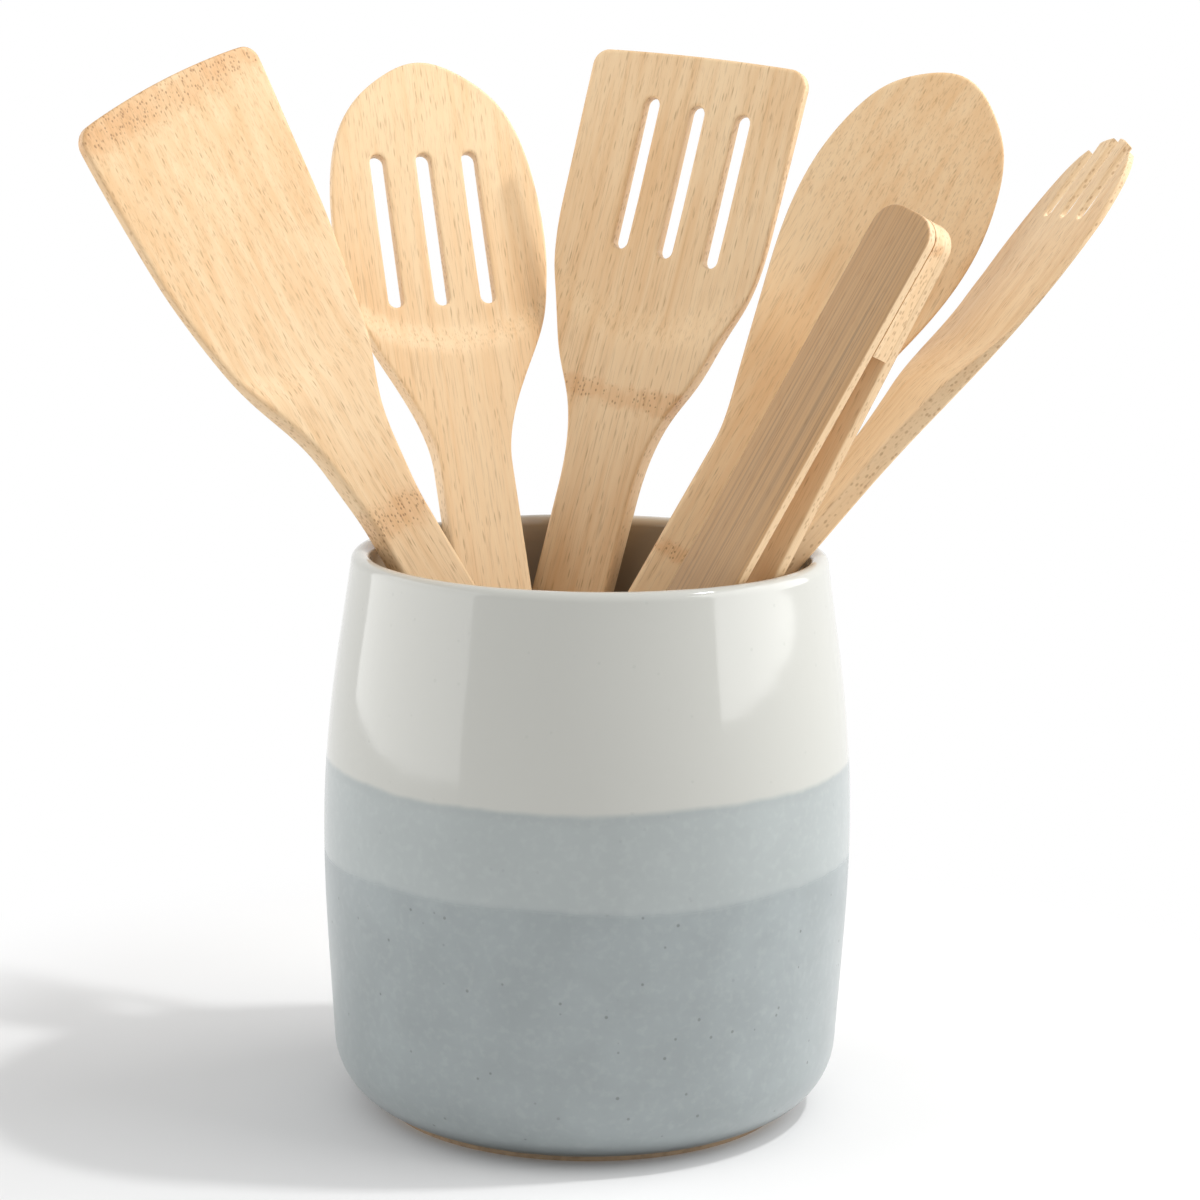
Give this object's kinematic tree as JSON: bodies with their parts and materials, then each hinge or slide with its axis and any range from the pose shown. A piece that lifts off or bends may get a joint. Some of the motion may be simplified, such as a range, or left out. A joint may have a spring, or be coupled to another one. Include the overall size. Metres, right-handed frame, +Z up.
{
  "type": "utensil crock with bamboo utensils",
  "caption": "Round stoneware utensil crock with a banded glaze, holding bamboo turners, spoons, a spork and sprung tongs that lift out.",
  "frame": {"origin": "on the crock's axis, in the plane of its flat foot", "axes": "+Z up along the crock's axis, -Y towards the viewer of the picture, +X to the viewer's right"},
  "size_m": [0.2835, 0.1697, 0.2913],
  "materials": {
    "glazed_stoneware": "gloss",
    "bamboo": "satin",
    "bamboo_dark": "satin"
  },
  "bodies": {
    "crock": {"crock": "glazed_stoneware"},
    "solid_turner": {"solid_turner": "bamboo"},
    "slotted_spoon": {"slotted_spoon": "bamboo"},
    "slotted_turner": {"slotted_turner": "bamboo"},
    "solid_spoon": {"solid_spoon": "bamboo"},
    "spork": {"spork": "bamboo"},
    "tongs": {"tongs_wedge": "bamboo"},
    "tongs_front": {"tongs_front_arm": "bamboo_dark"},
    "tongs_rear": {"tongs_rear_arm": "bamboo"}
  },
  "joints": [
    {"name": "solid_turner_lift", "type": "slide", "parent": "crock", "child": "solid_turner", "axis": [-0.5194, -0.0013, 0.8545], "range_m": [0, 0.19]},
    {"name": "slotted_spoon_lift", "type": "slide", "parent": "crock", "child": "slotted_spoon", "axis": [-0.1645, 0.3736, 0.9129], "range_m": [0, 0.17]},
    {"name": "slotted_turner_lift", "type": "slide", "parent": "crock", "child": "slotted_turner", "axis": [0.2381, 0.1393, 0.9612], "range_m": [0, 0.17]},
    {"name": "solid_spoon_lift", "type": "slide", "parent": "crock", "child": "solid_spoon", "axis": [0.4888, 0.1013, 0.8665], "range_m": [0, 0.19]},
    {"name": "spork_lift", "type": "slide", "parent": "crock", "child": "spork", "axis": [0.6514, 0.1824, 0.7364], "range_m": [0, 0.19]},
    {"name": "tongs_lift", "type": "slide", "parent": "crock", "child": "tongs", "axis": [0.4346, 0.027, 0.9002], "range_m": [0, 0.18]},
    {"name": "tongs_squeeze", "type": "hinge", "parent": "tongs", "child": "tongs_front", "pos_m": [0.06662, -0.03227, 0.21708], "axis": [0.6969, -0.6382, -0.3271], "range_deg": [0, 2.5], "stiffness_Nm_per_rad": 6},
    {"name": "tongs_rear_follow", "type": "hinge", "parent": "tongs", "child": "tongs_rear", "pos_m": [0.07044, -0.02696, 0.21488], "axis": [-0.6969, 0.6382, 0.3271], "range_deg": [0, 2.5], "stiffness_Nm_per_rad": 6}
  ],
  "couplings": [
    {"joint": "tongs_rear_follow", "follows": "tongs_squeeze", "ratio": 1}
  ]
}
